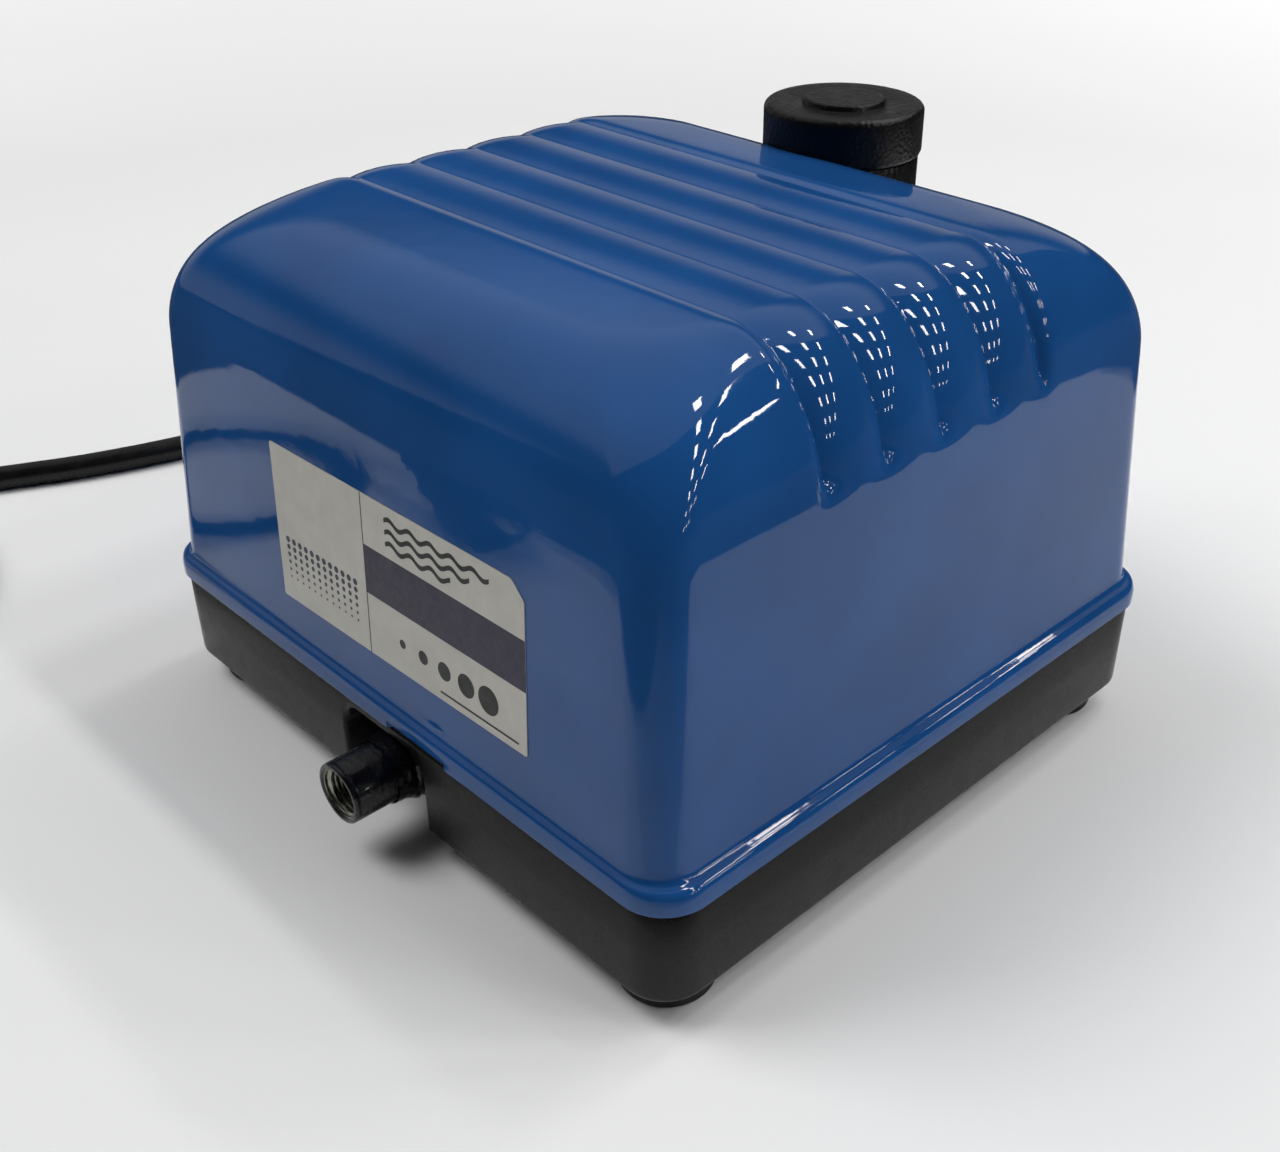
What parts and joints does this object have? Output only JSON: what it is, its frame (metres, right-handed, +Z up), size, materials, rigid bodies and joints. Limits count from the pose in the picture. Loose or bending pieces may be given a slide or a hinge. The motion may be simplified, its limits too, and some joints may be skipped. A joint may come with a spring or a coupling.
{
  "type": "air pump",
  "caption": "Boxy diaphragm air pump with a ribbed blue cover, dark base on rubber feet, mushroom filter cap, threaded outlet and mains cord.",
  "frame": {"origin": "middle of the footprint without the cord, on the plane of the feet's undersides", "axes": "+X to the right seen from the outlet side, along the ribs; +Y to the rear, where the filter stands; +Z up"},
  "size_m": [0.3813, 0.3527, 0.1547],
  "materials": {
    "blue_paint": "high-gloss blue paint over cast aluminium, orange-peel only up close",
    "dark_cast": "satin charcoal paint over a cast base",
    "black_rubber": "matt moulded rubber",
    "label": "printed plastic film with a dot pattern and a dark band, no lettering",
    "zinc_steel": "bright zinc plate",
    "black_plastic": "moulded black plastic with a fine grain",
    "filter_foam": "open-cell foam",
    "outlet_metal": "gloss black pipe with a bare threaded bore",
    "cast_aluminium": "as-cast and machined",
    "core_steel": "stacked laminations",
    "ivory_plastic": "moulded",
    "copper_wire": "enamelled copper winding",
    "magnet": "ferrite",
    "red_wire": "insulated lead",
    "cord_rubber": "smooth glossy black cable sheath",
    "nickel_pin": "nickel plate"
  },
  "bodies": {
    "body": {"top_cover": "blue_paint", "cover_gasket": "black_rubber", "front_label": "label", "base_tray": "dark_cast", "foot_front_left": "black_rubber", "foot_front_right": "black_rubber", "foot_rear_left": "black_rubber", "foot_rear_right": "black_rubber", "base_screws": "zinc_steel", "filter_cup": "black_plastic", "filter_foam": "filter_foam", "outlet_tube": "outlet_metal", "outlet_boot": "black_rubber", "outlet_hose": "black_rubber", "hose_clamps": "zinc_steel", "air_tank": "cast_aluminium", "tank_lid": "cast_aluminium", "isolation_mounts": "black_rubber", "motor_frame": "cast_aluminium", "core_front": "core_steel", "core_rear": "core_steel", "core_screws": "zinc_steel", "bobbin_front": "ivory_plastic", "bobbin_rear": "ivory_plastic", "coil_front": "copper_wire", "coil_rear": "copper_wire", "diaphragm_left": "black_rubber", "diaphragm_right": "black_rubber", "pump_head_left": "cast_aluminium", "pump_head_right": "cast_aluminium", "valve_plate_left": "ivory_plastic", "valve_plate_right": "ivory_plastic", "valves_left": "black_rubber", "valves_right": "black_rubber", "head_cover_left": "cast_aluminium", "head_cover_right": "cast_aluminium", "head_screws": "zinc_steel", "air_hose_left": "black_rubber", "air_hose_right": "black_rubber", "terminal_block": "ivory_plastic", "supply_tail": "cord_rubber", "motor_leads": "red_wire", "cord_gland": "black_plastic", "strain_relief": "cord_rubber", "power_cord": "cord_rubber", "cord_coil": "cord_rubber", "cord_tie": "black_rubber", "plug_lead": "cord_rubber", "plug_body": "cord_rubber", "plug_pins": "nickel_pin"},
    "filter_cap": {"filter_cap": "black_plastic"},
    "armature": {"armature_rod": "cast_aluminium", "magnets": "magnet", "clamp_discs_left": "cast_aluminium", "clamp_discs_right": "cast_aluminium", "rod_nuts": "zinc_steel"}
  },
  "joints": [
    {"name": "filter_cap_lift", "type": "slide", "parent": "body", "child": "filter_cap", "axis": [0, 0, 1], "range_m": [0, 0.02]},
    {"name": "armature_slide", "type": "slide", "parent": "body", "child": "armature", "axis": [1, 0, 0], "range_m": [-0.0025, 0.0025], "stiffness_N_per_m": 3000, "deforming": ["diaphragm_left", "diaphragm_right"]}
  ]
}
